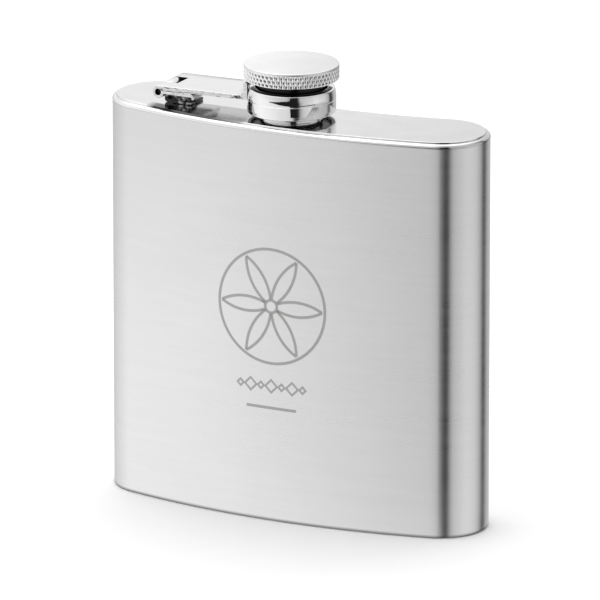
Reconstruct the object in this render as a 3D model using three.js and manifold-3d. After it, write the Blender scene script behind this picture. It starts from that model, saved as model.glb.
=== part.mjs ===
// Hip flask: a kidney-shaped steel body with a captive screw cap on a hinged arm.
// Millimetres, +Z up. The origin is at the middle of the base. The hollow of the
// curved body, which lies against the hip, faces +Y.
import * as THREE from "three";
import { ParametricGeometry } from "three/addons/geometries/ParametricGeometry.js";
import { mergeVertices } from "three/addons/utils/BufferGeometryUtils.js";
import Module from "manifold-3d";

const wasm = await Module();
wasm.setup();

// ---- Driving dimensions ----------------------------------------------------
const GAP = 0.3; // between neighbouring pieces
const EDGE = 0.2; // rounding of small edges
const OVERRUN = 1; // how far a cutter reaches past what it cuts

// Body: a round-ended strip bent along an arc, so that both faces curve with it.
const WIDTH = 95;
const HALF_THICKNESS = 11.37;
const BEND_RADIUS = 151; // of the line midway between the two faces
const WALL = 0.6;
const RIM_TOP = 93.65;
const RIM_RADIUS = 0.95; // rounding outside the rim
const RIM_WIDTH = 1.05;
const RIM_DEPTH = 1.25; // of the rim's thick inner edge
const RIM_TAPER = 1; // height over which the rim thins to the wall
const BASE_RADIUS = 0.5;
const BASE_LIP = 1.6; // width of the wall's inturned foot

const END_X = WIDTH / 2 - HALF_THICKNESS; // centres of the round ends
const END_SAG = BEND_RADIUS - Math.sqrt(BEND_RADIUS ** 2 - END_X ** 2);
const MID_Y = -END_SAG / 2; // middle of the body's thickness at x = 0, and the neck's axis

// Top and bottom panels
const TOP_PANEL_Z = 94; // polished upper face, just proud of the rim
const TOP_PANEL_THICKNESS = 1;
const TOP_PANEL_ROUNDING = 0.3;
const BOTTOM_PANEL_THICKNESS = 0.8;

// Neck and thread. The thread is right-handed, so the cap climbs as it turns about +Z.
const NECK_BORE = 5.45;
const NECK_RADIUS = 6.3;
const NECK_TOP = 100.7;
const NECK_FLANGE_RADIUS = 8.2;
const NECK_FLANGE_THICKNESS = 0.6;
const NECK_LIP_ROUNDING = 0.3;
const COLLAR_RADIUS = 7.4;
const COLLAR_TOP = 95.3;
const COLLAR_STEP_WIDTH = 0.3;
const COLLAR_STEP_HEIGHT = 0.6;
const PITCH = 1.4;
const THREAD_START = 96.7;
const THREAD_END = 100.1;
const THREAD_ROOT_WIDTH = 0.7;
const THREAD_CREST_WIDTH = 0.3;
const THREAD_SUNK = 0.2; // depth of a ridge's root inside its wall
const THREAD_STEPS = 24; // in each turn
const NECK_CREST = 6.8;
const CAP_CREST = 6.6;
const CAP_BORE = 7.15;

// Cap
const HEAD_RADIUS = 11;
const HEAD_BOTTOM = 103.15;
const HEAD_SHOULDER = 106.25; // top of the knurl
const HEAD_TOP = 106.9;
const HEAD_RECESS_RADIUS = 8.3;
const HEAD_RECESS_TOP = 104.4;
const HEAD_CHAMFER = 0.2; // below the knurl
const HEAD_EDGE_WIDTH = 0.25; // above the knurl
const HEAD_EDGE_HEIGHT = 0.4;
const STEM_RADIUS = 8.0;
const CAP_FLANGE_RADIUS = 9.0;
const CAP_FLANGE_BOTTOM = 95.95;
const CAP_FLANGE_TOP = 97.05;
const BORE_ROOF = 102.3;
const KNURLS = 60;
const KNURL_ROWS = 6; // half-diamonds, one above the other
const KNURL_DEPTH = 0.32;
const GASKET_BOTTOM = 101.0;
const GASKET_TOP = 102.0;
const GASKET_RADIUS = 6.8;
const GASKET_HOLE = 1.5;

// Ring that holds the cap
const RING_RADIUS = 10.3;
const RING_TOP_RADIUS = 10.05; // above its middle the ring curves in to this
const RING_MIDDLE = 98.5;
const RING_BORE = 9.3;
const RING_LIP_BORE = 8.35;
const RING_BOTTOM = 95.3;
const RING_TOP = 101.25;
const RING_LIP_BOTTOM = 100.65;
const RING_SHOULDER_RADIUS = 0.6;
const RING_HEEL_RADIUS = 0.45;
const RING_HEEL_WIDTH = 0.85;

// Arm and its hinge
const PIN_X = -31.2;
const PIN_Z = 97.35;
const PIN_RADIUS = 0.6;
const KNUCKLE_BORE = 0.75;
const KNUCKLE_RADIUS = 1.48;
const ARM_WIDTH = 13;
const ARM_THICKNESS = 1.05;
const ARM_RISE = 0.45; // from the hinge to the ring
const ARM_LAP_X = -21.9; // where the folded-back layer ends
const LAP_THICKNESS = 0.65;
const LAP_GAP = 0.12;
const LAP_TURN_DOWN = 0.6;
const WINDOW_WIDTH = 5.4;
const WINDOW_END_X = -28.1;
const SADDLE_THICKNESS = 0.5;
const SADDLE_HALF_ANGLE = 0.7; // radians, before its ends are cut in line with the arm's edges
const SADDLE_TOP = 102.2;
const FOOT_WIDTH = 6;
const FOOT_THICKNESS = 0.8;
const FOOT_X = [-29.5, -24.4];
const HUMP_X = [-29.5, -25.8];
const HUMP_TOP = 96.55;
const LEAF_X = [PIN_X - 0.4, PIN_X + 0.6];

// ---- Materials -------------------------------------------------------------
const steel = (name, color, roughness) =>
  new THREE.MeshStandardMaterial({ name, color, roughness, metalness: 1 });
const BRUSHED = steel("brushed_steel", 0xc9c8c7, 0.36);
const SATIN = steel("satin_steel", 0xdcdcdc, 0.3);
const POLISHED = steel("polished_steel", 0xd6d6d8, 0.08);
const THREADED = steel("threaded_steel", 0xbfc0c2, 0.25);
const SILICONE = new THREE.MeshStandardMaterial({
  name: "silicone",
  color: 0xe9e7e2,
  roughness: 0.6,
  metalness: 0,
});

// ---- Solids ----------------------------------------------------------------
// A closed geometry as a solid that can be joined and cut.
function solid(geometry) {
  const bare = new THREE.BufferGeometry();
  bare.setAttribute("position", geometry.getAttribute("position").clone());
  bare.setIndex(geometry.index);
  const merged = mergeVertices(bare, 1e-4);
  const corners = merged.index.array;
  const triVerts = [];
  for (let i = 0; i < corners.length; i += 3) {
    const [a, b, c] = corners.slice(i, i + 3);
    if (a !== b && b !== c && c !== a) triVerts.push(a, b, c);
  }
  const vertProperties = merged.getAttribute("position").array;
  const mesh = { numProp: 3, vertProperties, triVerts: new Uint32Array(triVerts) };
  return new wasm.Manifold(new wasm.Mesh(mesh));
}

function geometryOf(manifold) {
  const mesh = manifold.getMesh();
  const geometry = new THREE.BufferGeometry();
  geometry.setAttribute("position", new THREE.BufferAttribute(mesh.vertProperties, 3));
  geometry.setIndex(new THREE.BufferAttribute(mesh.triVerts, 1));
  const flat = geometry.toNonIndexed();
  flat.computeVertexNormals();
  return flat;
}

// Points on a round corner in a profile of [a, b] pairs, between two angles in degrees.
function corner(a, b, radius, from, to, steps = 4) {
  return Array.from({ length: steps + 1 }, (_, i) => {
    const angle = THREE.MathUtils.degToRad(from + ((to - from) * i) / steps);
    return [a + radius * Math.cos(angle), b + radius * Math.sin(angle)];
  });
}

// A profile of [radius, z] turned about the neck's axis. The profile runs up the outside.
function turned(profile, segments = 40) {
  const points = profile.map(([r, z]) => new THREE.Vector2(r, z));
  const geometry = new THREE.LatheGeometry(points, segments);
  geometry.rotateX(Math.PI / 2);
  geometry.translate(0, MID_Y, 0);
  return geometry;
}

// A closed sweep: at(i, j) gives the point of section corner j at step i.
function sweep(at, steps, sides) {
  const surface = (u, v, target) => target.copy(at(Math.round(u * steps), Math.round(v * sides)));
  return new ParametricGeometry(surface, steps, sides);
}

// A flat shape in the XZ plane, given as [x, z] pairs, made width thick across y = MID_Y.
function plateAcross(outline, width) {
  const shape = new THREE.Shape(outline.map(([x, z]) => new THREE.Vector2(x, z)));
  const geometry = new THREE.ExtrudeGeometry(shape, { depth: width, bevelEnabled: false });
  geometry.rotateX(Math.PI / 2);
  geometry.translate(0, MID_Y + width / 2, 0);
  return geometry;
}

function box(xs, ys, zs) {
  const size = [xs, ys, zs].map(([low, high]) => high - low);
  const middle = [xs, ys, zs].map(([low, high]) => (high + low) / 2);
  return new THREE.BoxGeometry(...size).translate(...middle);
}

// A cylinder along Y, round the hinge pin's axis.
function acrossPin(radius, low, high, segments = 24) {
  const geometry = new THREE.CylinderGeometry(radius, radius, high - low, segments);
  return geometry.translate(PIN_X, MID_Y + (low + high) / 2, PIN_Z);
}

// ---- Body outline ----------------------------------------------------------
const FACE_STEPS = 20;
const END_STEPS = 14;
const END_ANGLE = Math.asin(END_X / BEND_RADIUS);

// The body's outline seen from above, moved in from the outside by inset.
// It runs anticlockwise from the left of the front face.
function outline(inset) {
  const centreY = MID_Y + BEND_RADIUS;
  const half = HALF_THICKNESS - inset;
  const points = [];
  const arc = (x, y, radius, from, to, steps) => {
    for (let i = 0; i < steps; i++) {
      const angle = from + ((to - from) * i) / steps;
      points.push(new THREE.Vector2(x + radius * Math.cos(angle), y + radius * Math.sin(angle)));
    }
  };
  const down = -Math.PI / 2;
  const endY = centreY - BEND_RADIUS * Math.cos(END_ANGLE);
  arc(0, centreY, BEND_RADIUS + half, down - END_ANGLE, down + END_ANGLE, FACE_STEPS);
  arc(END_X, endY, half, down + END_ANGLE, -down + END_ANGLE, END_STEPS);
  arc(0, centreY, BEND_RADIUS - half, down + END_ANGLE, down - END_ANGLE, FACE_STEPS);
  arc(-END_X, endY, half, -down - END_ANGLE, -3 * down - END_ANGLE, END_STEPS);
  return points;
}

// A flat plate with the body's outline.
function plate(inset, bottom, thickness) {
  const shape = new THREE.Shape(outline(inset));
  const geometry = new THREE.ExtrudeGeometry(shape, { depth: thickness, bevelEnabled: false });
  return geometry.translate(0, 0, bottom);
}

// ---- Body pieces -----------------------------------------------------------
function bodyShell() {
  const rimBottom = RIM_TOP - RIM_DEPTH;
  // [inset, z] pairs: up the outside, over the rim and down the inside.
  const section = [
    [BASE_LIP, WALL],
    [BASE_LIP, 0],
    ...corner(BASE_RADIUS, BASE_RADIUS, BASE_RADIUS, 270, 180, 3),
    ...corner(RIM_RADIUS, RIM_TOP - RIM_RADIUS, RIM_RADIUS, 180, 90, 5),
    [RIM_WIDTH, RIM_TOP],
    [RIM_WIDTH, rimBottom],
    [WALL, rimBottom - RIM_TAPER],
    [WALL, WALL],
  ];
  const rings = section.map(([inset, z]) =>
    outline(inset).map((p) => new THREE.Vector3(p.x, p.y, z)),
  );
  const around = rings[0].length;
  const up = rings.length;
  return sweep((i, j) => rings[j % up][i % around], around, up);
}

function topPanel() {
  const panelBottom = TOP_PANEL_Z - TOP_PANEL_THICKNESS;
  const inset = RIM_WIDTH + GAP;
  // The rounded edge is built up from three layers, each a little narrower and taller.
  const layers = corner(inset + TOP_PANEL_ROUNDING, 0, TOP_PANEL_ROUNDING, 180, 90, 2).map(
    ([amount, rise]) =>
      solid(plate(amount, panelBottom, TOP_PANEL_THICKNESS - TOP_PANEL_ROUNDING + rise)),
  );
  const whole = layers.reduce((joined, layer) => joined.add(layer));
  const holeRadius = NECK_RADIUS + GAP;
  const hole = turned([
    [0, panelBottom - OVERRUN],
    [holeRadius, panelBottom - OVERRUN],
    [holeRadius, TOP_PANEL_Z + OVERRUN],
    [0, TOP_PANEL_Z + OVERRUN],
  ]);
  return geometryOf(whole.subtract(solid(hole)));
}

function bottomPanel() {
  return plate(BASE_LIP + GAP, 0, BOTTOM_PANEL_THICKNESS);
}

// A thread ridge from its root radius to its crest, with ends that run out into the wall.
function threadRidge(root, crest, phase) {
  const turns = (THREAD_END - THREAD_START) / PITCH;
  const steps = Math.round(turns * THREAD_STEPS);
  const inWall = root + Math.sign(root - crest) * THREAD_SUNK;
  const section = [
    [inWall, -THREAD_ROOT_WIDTH / 2],
    [root, -THREAD_ROOT_WIDTH / 2],
    [crest, -THREAD_CREST_WIDTH / 2],
    [crest, THREAD_CREST_WIDTH / 2],
    [root, THREAD_ROOT_WIDTH / 2],
    [inWall, THREAD_ROOT_WIDTH / 2],
  ];
  if (crest < root) section.reverse();
  const at = (i, j) => {
    const angle = (i / steps) * turns * 2 * Math.PI + phase;
    const ends = i === 0 || i === steps;
    const [r, dz] = ends ? [inWall, 0] : section[j % section.length];
    const z = THREAD_START + (i / steps) * (THREAD_END - THREAD_START) + dz;
    return new THREE.Vector3(r * Math.cos(angle), MID_Y + r * Math.sin(angle), z);
  };
  return sweep(at, steps, section.length);
}

function neckTube() {
  const flangeTop = TOP_PANEL_Z - TOP_PANEL_THICKNESS - GAP;
  const flangeBottom = flangeTop - NECK_FLANGE_THICKNESS;
  const lip = NECK_LIP_ROUNDING;
  const tube = turned([
    [NECK_BORE, flangeBottom],
    [NECK_FLANGE_RADIUS, flangeBottom],
    [NECK_FLANGE_RADIUS, flangeTop],
    [NECK_RADIUS, flangeTop],
    ...corner(NECK_RADIUS - lip, NECK_TOP - lip, lip, 0, 90, 3),
    ...corner(NECK_BORE + lip, NECK_TOP - lip, lip, 90, 180, 3),
    [NECK_BORE, flangeBottom],
  ]);
  return geometryOf(solid(tube).add(solid(threadRidge(NECK_RADIUS, NECK_CREST, 0))));
}

function neckCollar() {
  const bottom = TOP_PANEL_Z + GAP;
  const bore = NECK_RADIUS + GAP;
  const stepRadius = COLLAR_RADIUS - COLLAR_STEP_WIDTH;
  return turned([
    [bore, bottom],
    ...corner(COLLAR_RADIUS - EDGE, bottom + EDGE, EDGE, 270, 360, 2),
    [COLLAR_RADIUS, bottom + COLLAR_STEP_HEIGHT],
    [stepRadius, bottom + COLLAR_STEP_HEIGHT],
    ...corner(stepRadius - EDGE, COLLAR_TOP - EDGE, EDGE, 0, 90, 2),
    [bore, COLLAR_TOP],
    [bore, bottom],
  ]);
}

// ---- Cap -------------------------------------------------------------------
// The knurled head: diamonds stand on every second corner of a grid round the rim.
function capHead() {
  const knurlBottom = HEAD_BOTTOM + HEAD_CHAMFER;
  const edgeRadius = HEAD_RADIUS - HEAD_EDGE_WIDTH;
  const edgeZ = HEAD_SHOULDER + HEAD_EDGE_HEIGHT;
  // The slightly domed top, at fractions of its radius from the edge to the middle.
  const dome = [1, 0.7, 0.4].map((s) => [edgeRadius * s, HEAD_TOP - (HEAD_TOP - edgeZ) * s ** 2]);
  const section = [
    [0, HEAD_RECESS_TOP],
    [HEAD_RECESS_RADIUS, HEAD_RECESS_TOP],
    [HEAD_RECESS_RADIUS, HEAD_BOTTOM],
    [HEAD_RADIUS - HEAD_CHAMFER - KNURL_DEPTH, HEAD_BOTTOM],
  ];
  const firstRow = section.length;
  for (let row = 0; row <= KNURL_ROWS; row++)
    section.push([HEAD_RADIUS, knurlBottom + ((HEAD_SHOULDER - knurlBottom) * row) / KNURL_ROWS]);
  section.push(...dome, [0, HEAD_TOP]);
  const around = KNURLS * 2;
  const at = (i, j) => {
    const row = j - firstRow;
    const knurled = row >= 0 && row <= KNURL_ROWS;
    const valley = knurled && (i + row) % 2 === 1;
    const radius = section[j][0] - (valley ? KNURL_DEPTH : 0);
    const angle = ((i % around) / around) * 2 * Math.PI;
    return new THREE.Vector3(
      radius * Math.cos(angle),
      MID_Y + radius * Math.sin(angle),
      section[j][1],
    );
  };
  return geometryOf(solid(sweep(at, around, section.length - 1)));
}

// The cap's threaded sleeve: a stem that turns in the ring, with a flange that the ring holds.
function capSleeve() {
  const body = turned([
    [CAP_BORE, CAP_FLANGE_BOTTOM],
    ...corner(CAP_FLANGE_RADIUS - EDGE, CAP_FLANGE_BOTTOM + EDGE, EDGE, 270, 360, 2),
    ...corner(CAP_FLANGE_RADIUS - EDGE, CAP_FLANGE_TOP - EDGE, EDGE, 0, 90, 2),
    [STEM_RADIUS, CAP_FLANGE_TOP],
    [STEM_RADIUS, HEAD_RECESS_TOP - GAP],
    [0, HEAD_RECESS_TOP - GAP],
    [0, BORE_ROOF],
    [CAP_BORE, BORE_ROOF],
    [CAP_BORE, CAP_FLANGE_BOTTOM],
  ]);
  return geometryOf(solid(body).add(solid(threadRidge(CAP_BORE, CAP_CREST, Math.PI))));
}

function capGasket() {
  return turned([
    [GASKET_HOLE, GASKET_BOTTOM],
    [GASKET_RADIUS - EDGE, GASKET_BOTTOM],
    [GASKET_RADIUS, GASKET_BOTTOM + EDGE],
    [GASKET_RADIUS, GASKET_TOP - EDGE],
    [GASKET_RADIUS - EDGE, GASKET_TOP],
    [GASKET_HOLE, GASKET_TOP],
    [GASKET_HOLE, GASKET_BOTTOM],
  ]);
}

// ---- Ring, arm and hinge ---------------------------------------------------
function retainerRing() {
  const heel = RING_HEEL_RADIUS;
  const shoulder = RING_SHOULDER_RADIUS;
  return turned([
    [RING_BORE, RING_BOTTOM],
    [RING_RADIUS - RING_HEEL_WIDTH, RING_BOTTOM],
    ...corner(RING_RADIUS - heel, RING_BOTTOM + heel, heel, 290, 360, 3),
    [RING_RADIUS, RING_MIDDLE],
    ...corner(RING_TOP_RADIUS - shoulder, RING_TOP - shoulder, shoulder, 15, 90, 4),
    ...corner(RING_LIP_BORE + EDGE, RING_TOP - EDGE, EDGE, 90, 180, 2),
    [RING_LIP_BORE, RING_LIP_BOTTOM],
    [RING_BORE, RING_LIP_BOTTOM],
    [RING_BORE, RING_BOTTOM],
  ]);
}

// A strip folded round the pin: its upper layer runs to the ring, where a curved saddle
// stands up against the ring, and its lower layer folds back below the upper one.
function retainerArm() {
  const topZ = PIN_Z + KNUCKLE_RADIUS;
  const reachX = -RING_RADIUS + OVERRUN; // inside the ring, cut back to its clearance
  const endTopZ = topZ + ARM_RISE;
  const lapTopZ = topZ - ARM_THICKNESS - LAP_GAP;
  const lapBottomZ = lapTopZ - LAP_THICKNESS;
  const upper = plateAcross(
    [
      [PIN_X, topZ - ARM_THICKNESS],
      [reachX, endTopZ - ARM_THICKNESS],
      [reachX, endTopZ],
      [PIN_X, topZ],
    ],
    ARM_WIDTH,
  );
  const lap = plateAcross(
    [
      [PIN_X, lapBottomZ],
      [ARM_LAP_X - LAP_THICKNESS, lapBottomZ],
      [ARM_LAP_X - LAP_THICKNESS, lapBottomZ - LAP_TURN_DOWN],
      [ARM_LAP_X, lapBottomZ - LAP_TURN_DOWN],
      [ARM_LAP_X, lapTopZ],
      [PIN_X, lapTopZ],
    ],
    ARM_WIDTH,
  );
  const saddleShape = new THREE.Shape();
  const outer = RING_RADIUS + GAP + SADDLE_THICKNESS;
  const [from, to] = [Math.PI - SADDLE_HALF_ANGLE, Math.PI + SADDLE_HALF_ANGLE];
  saddleShape.absarc(0, 0, outer, from, to, false);
  saddleShape.absarc(0, 0, RING_RADIUS + GAP, to, from, true);
  const saddleBottom = endTopZ - ARM_THICKNESS;
  const saddleSize = { depth: SADDLE_TOP - saddleBottom, bevelEnabled: false, curveSegments: 20 };
  const saddle = new THREE.ExtrudeGeometry(saddleShape, saddleSize);
  saddle.translate(0, MID_Y, saddleBottom);
  const clearance = turned([
    [0, RING_BOTTOM],
    [RING_RADIUS + GAP, RING_BOTTOM],
    [RING_RADIUS + GAP, SADDLE_TOP + OVERRUN],
    [0, SADDLE_TOP + OVERRUN],
  ]);
  const half = ARM_WIDTH / 2;
  const besideArm = (from, to) =>
    box([-outer - OVERRUN, 0], [MID_Y + from, MID_Y + to], [saddleBottom - OVERRUN, SADDLE_TOP + OVERRUN]);
  const halfWindow = WINDOW_WIDTH / 2;
  const window = box(
    [PIN_X - KNUCKLE_RADIUS - OVERRUN, WINDOW_END_X],
    [MID_Y - halfWindow, MID_Y + halfWindow],
    [PIN_Z - KNUCKLE_RADIUS - OVERRUN, PIN_Z + KNUCKLE_RADIUS + OVERRUN],
  );
  const arm = solid(upper)
    .add(solid(lap))
    .add(solid(acrossPin(KNUCKLE_RADIUS, -half, half, 32)))
    .add(
      solid(saddle)
        .subtract(solid(besideArm(-outer, -half)))
        .subtract(solid(besideArm(half, outer))),
    )
    .subtract(solid(clearance))
    .subtract(solid(window))
    .subtract(solid(acrossPin(KNUCKLE_BORE, -half - OVERRUN, half + OVERRUN)));
  return geometryOf(arm);
}

// The fixed half of the hinge: a humped foot on the top panel and a leaf that ends in the
// middle knuckle, which stands in the arm's window.
function hingeBracket() {
  const footBottom = TOP_PANEL_Z + GAP;
  const footTop = footBottom + FOOT_THICKNESS;
  const knuckleHalf = WINDOW_WIDTH / 2 - GAP;
  const halfFoot = FOOT_WIDTH / 2;
  const acrossFoot = [MID_Y - halfFoot, MID_Y + halfFoot];
  const foot = box(FOOT_X, acrossFoot, [footBottom, footTop]);
  const hump = box(HUMP_X, acrossFoot, [footBottom, HUMP_TOP]);
  const leaf = plateAcross(
    [
      [LEAF_X[0], footBottom],
      [FOOT_X[0] + OVERRUN, footBottom],
      [FOOT_X[0] + OVERRUN, footTop],
      [LEAF_X[1], footTop],
      [LEAF_X[1], PIN_Z],
      [LEAF_X[0], PIN_Z],
    ],
    knuckleHalf * 2,
  );
  const bracket = solid(foot)
    .add(solid(hump))
    .add(solid(leaf))
    .add(solid(acrossPin(KNUCKLE_RADIUS, -knuckleHalf, knuckleHalf, 32)))
    .subtract(solid(acrossPin(KNUCKLE_BORE, -knuckleHalf - OVERRUN, knuckleHalf + OVERRUN)));
  return geometryOf(bracket);
}

function hingePin() {
  const half = ARM_WIDTH / 2 - GAP;
  return acrossPin(PIN_RADIUS, -half, half);
}

// ---- Assembly --------------------------------------------------------------
function named(name, geometry, material) {
  const mesh = new THREE.Mesh(geometry, material);
  mesh.name = name;
  return mesh;
}

function groupOf(...meshes) {
  const group = new THREE.Group();
  group.add(...meshes);
  return group;
}

const flask = groupOf(
  named("body_shell", bodyShell(), BRUSHED),
  named("top_panel", topPanel(), POLISHED),
  named("bottom_panel", bottomPanel(), BRUSHED),
  named("neck_tube", neckTube(), THREADED),
  named("neck_collar", neckCollar(), POLISHED),
  named("hinge_bracket", hingeBracket(), POLISHED),
  named("hinge_pin", hingePin(), POLISHED),
);
const arm = groupOf(
  named("retainer_arm", retainerArm(), POLISHED),
  named("retainer_ring", retainerRing(), POLISHED),
);
const cap = groupOf(
  named("cap_gasket", capGasket(), SILICONE),
  named("cap_sleeve", capSleeve(), THREADED),
  named("cap_head", capHead(), SATIN),
);

const hipFlask = groupOf(flask, arm, cap);
hipFlask.name = "hip_flask";

export default hipFlask;
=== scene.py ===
"""Hip flask: the looks of a kidney-shaped steel flask with a captive screw cap.

Lengths named below are in millimetres, and every mesh is made in metres in the frame of the
CAD part: +Z up, +Y towards the hollow face, the origin in the middle of the base.
"""

import math

import bpy
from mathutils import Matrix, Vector


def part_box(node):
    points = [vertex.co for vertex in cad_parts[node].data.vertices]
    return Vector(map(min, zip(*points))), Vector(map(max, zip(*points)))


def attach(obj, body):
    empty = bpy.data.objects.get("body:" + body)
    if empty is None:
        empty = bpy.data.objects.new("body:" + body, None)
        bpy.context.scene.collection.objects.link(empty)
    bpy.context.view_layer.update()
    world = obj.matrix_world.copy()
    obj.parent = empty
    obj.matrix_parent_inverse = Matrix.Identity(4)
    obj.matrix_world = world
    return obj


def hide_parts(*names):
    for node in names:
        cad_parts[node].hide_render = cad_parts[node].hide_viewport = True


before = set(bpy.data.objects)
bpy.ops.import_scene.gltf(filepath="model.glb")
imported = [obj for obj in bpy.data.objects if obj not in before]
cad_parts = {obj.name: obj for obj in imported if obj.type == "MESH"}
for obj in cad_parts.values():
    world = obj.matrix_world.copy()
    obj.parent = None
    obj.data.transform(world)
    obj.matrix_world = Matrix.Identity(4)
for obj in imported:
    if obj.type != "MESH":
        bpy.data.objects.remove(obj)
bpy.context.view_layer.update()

MM = 0.001
TAU = 2 * math.pi


def low_mm(node):
    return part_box(node)[0] / MM


def high_mm(node):
    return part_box(node)[1] / MM


def middle_mm(node):
    return (low_mm(node) + high_mm(node)) / 2


def radius_mm(node):
    return (high_mm(node).x - low_mm(node).x) / 2


# ---- Sizes, in millimetres --------------------------------------------------
# The body's outline: a round-ended strip bent along an arc.
WIDTH = 95.0
HALF_THICKNESS = 11.37
BEND_RADIUS = 151.0
END_X = WIDTH / 2 - HALF_THICKNESS
END_ANGLE = math.asin(END_X / BEND_RADIUS)
NECK_X = 0.0
NECK_Y = middle_mm("neck_collar").y
BEND_CENTRE_Y = NECK_Y + BEND_RADIUS

# The body.
BODY_TOP = high_mm("body_shell").z
WALL = 0.6
STEP = 0.05  # the brushed wall sits this far inside the polished rim
GROOVE_DEPTH = 0.07  # of the fine line below the rim
RIM_WIDTH = 1.05
RIM_RADIUS = 0.95
RIM_DEPTH = 1.25
BASE_RADIUS = 0.5
BASE_LIP = 1.6
BASE_LIP_HEIGHT = 0.62
PANEL_TOP = high_mm("top_panel").z
PANEL_BOTTOM = low_mm("top_panel").z

# The neck and its collar.
NECK_BOTTOM = low_mm("neck_tube").z
NECK_TOP = high_mm("neck_tube").z
NECK_RADIUS = 6.3
NECK_BORE = 5.45
NECK_CREST = 6.8
NECK_FLANGE_RADIUS = 8.2
NECK_FLANGE_THICKNESS = 0.6
COLLAR_RADIUS = radius_mm("neck_collar")
COLLAR_TOP = high_mm("neck_collar").z

# The thread, which the neck and the cap share.
PITCH = 1.4
THREAD_FOOT = 96.2
THREAD_START = 96.7
THREAD_END = 100.1
THREAD_HALF_WIDTH = 0.35
THREAD_FLANK = 0.2
THREAD_RUN_OUT = 0.5
THREAD_STEPS = 60

# The cap.
CAP_CREST = 6.6
CAP_BORE = 7.15
BORE_ROOF = 102.3
HEAD_RADIUS = radius_mm("cap_head")
HEAD_BOTTOM = low_mm("cap_head").z
HEAD_TOP = high_mm("cap_head").z
HEAD_SHOULDER = 106.25
HEAD_RECESS = 8.3
KNURLS = 60
DIAMOND_HEIGHT = 1.9
KNURL_DEPTH = 0.42
KNURL_ROWS = 38
KNURL_COLUMNS = 12  # to a diamond
STEM_RADIUS = 8.0
STEM_TOP = high_mm("cap_sleeve").z
FLANGE_RADIUS = radius_mm("cap_sleeve")
FLANGE_BOTTOM = low_mm("cap_sleeve").z
FLANGE_TOP = FLANGE_BOTTOM + 1.1

# The ring.
RING_RADIUS = radius_mm("retainer_ring")
RING_BORE = 9.3
RING_LIP_BORE = 8.35
RING_BOTTOM = low_mm("retainer_ring").z
RING_TOP = high_mm("retainer_ring").z
RING_LIP_BOTTOM = 100.65
RING_STEP = RING_BOTTOM + 3.2  # the height of the fine line round the ring
RING_SHOULDER = 0.55
RING_TAPER = 0.27
SEAM_AZIMUTH = 55.0  # degrees from -Y towards +X
SEAM_HALF_WIDTH = 0.07
SEAM_DEPTH = 0.07

# The hinge.
PIN = middle_mm("hinge_pin")
PIN_RADIUS = radius_mm("hinge_pin")
PIN_SETBACK = 0.75
KNUCKLE_BORE = 0.75
KNUCKLE_RADIUS = 1.48
GAP = 0.3  # beside the hinge's leaf, and added to the saddle's thickness
FOOT_THICKNESS = 0.75
LEAF_HALF_THICKNESS = 0.45
HUMP_X = (-29.5, -25.8)
HUMP_TOP = 96.55

# The arm: a strip folded back below itself, from the pin to the end of the lap.
ARM_HALF_WIDTH = (high_mm("retainer_arm").y - low_mm("retainer_arm").y) / 2
ARM_THICKNESS = 1.05
ARM_RISE = 0.45
LAP_THICKNESS = 0.65
LAP_END_X = -21.9
LAP_GAP = 0.12
LAP_TURN_DOWN = 0.6
WINDOW_HALF_WIDTH = 2.7
WINDOW_END_X = -28.1
SADDLE_TOP = high_mm("retainer_arm").z
SADDLE_HALF_ANGLE = 48.0  # degrees, before its ends are cut off
SADDLE_THICKNESS = 0.5
SADDLE_BEND = 1.2

# The marking on the front.
MARK_Z = 51.5
MARK_X = 0.6
MARK_RADIUS = 13.6
MARK_EYE = 1.5
MARK_LINE = 0.68
MARK_HEIGHT = 0.012
MARK_ROOT = -0.05
PETALS = 6
PETAL_SWEEP = 120.0  # degrees of a circle in each side of a petal
ROW_Z = 32.4
ROW_HALF_WIDTH = 9.5
LOZENGE = 1.5
SMALL_LOZENGE = 0.8
RULE_Z = 27.2
RULE_HALF_WIDTH = 6.4


# ---- Mesh helpers -----------------------------------------------------------
def new_object(name, vertices_mm, faces, sharp_degrees=35):
    """An object from vertices in millimetres, smooth except along its sharp edges."""
    mesh = bpy.data.meshes.new(name)
    mesh.from_pydata([Vector(v) * MM for v in vertices_mm], [], faces)
    mesh.validate()
    piece = bpy.data.objects.new(name, mesh)
    bpy.context.scene.collection.objects.link(piece)
    return smooth(piece, sharp_degrees)


def smooth(piece, sharp_degrees=35):
    piece.data.shade_smooth()
    piece.data.set_sharp_from_angle(angle=math.radians(sharp_degrees))
    return piece


def quad(first, after, i, k):
    """The face between places i and k of two rows of vertices."""
    return (first + i, first + k, after + k, after + i)


def loop_mesh(name, point, around, along, sharp_degrees=35, closed=True):
    """A surface from point(i, j): i goes round a closed loop and j goes along a profile.

    The profile closes on itself, or, with closed=False, each of its ends is on the axis,
    where the whole row is one point.
    """
    vertices = []
    rows = []
    for j in range(along):
        pole = not closed and j in (0, along - 1)
        rows.append(len(vertices))
        vertices.extend(point(i, j) for i in range(1 if pole else around))
    faces = []
    for j in range(along if closed else along - 1):
        low = rows[j]
        high = rows[(j + 1) % along]
        for i in range(around):
            k = (i + 1) % around
            if not closed and j == 0:
                faces.append((low, high + k, high + i))
            elif not closed and j == along - 2:
                faces.append((low + i, low + k, high))
            else:
                faces.append(quad(low, high, i, k))
    return new_object(name, vertices, faces, sharp_degrees)


def arc(a, b, radius, start, end, steps=6):
    """Points on a round corner of a profile, between two angles in degrees."""
    points = []
    for i in range(steps + 1):
        angle = math.radians(start + (end - start) * i / steps)
        points.append((a + radius * math.cos(angle), b + radius * math.sin(angle)))
    return points


def divided(start, end, steps):
    """Points between two profile points, both left out."""
    return [
        (start[0] + (end[0] - start[0]) * i / steps, start[1] + (end[1] - start[1]) * i / steps)
        for i in range(1, steps)
    ]


def circle_points(a, b, radius, steps=48):
    angles = [TAU * i / steps for i in range(steps)]
    return [(a + radius * math.cos(angle), b + radius * math.sin(angle)) for angle in angles]


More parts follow.
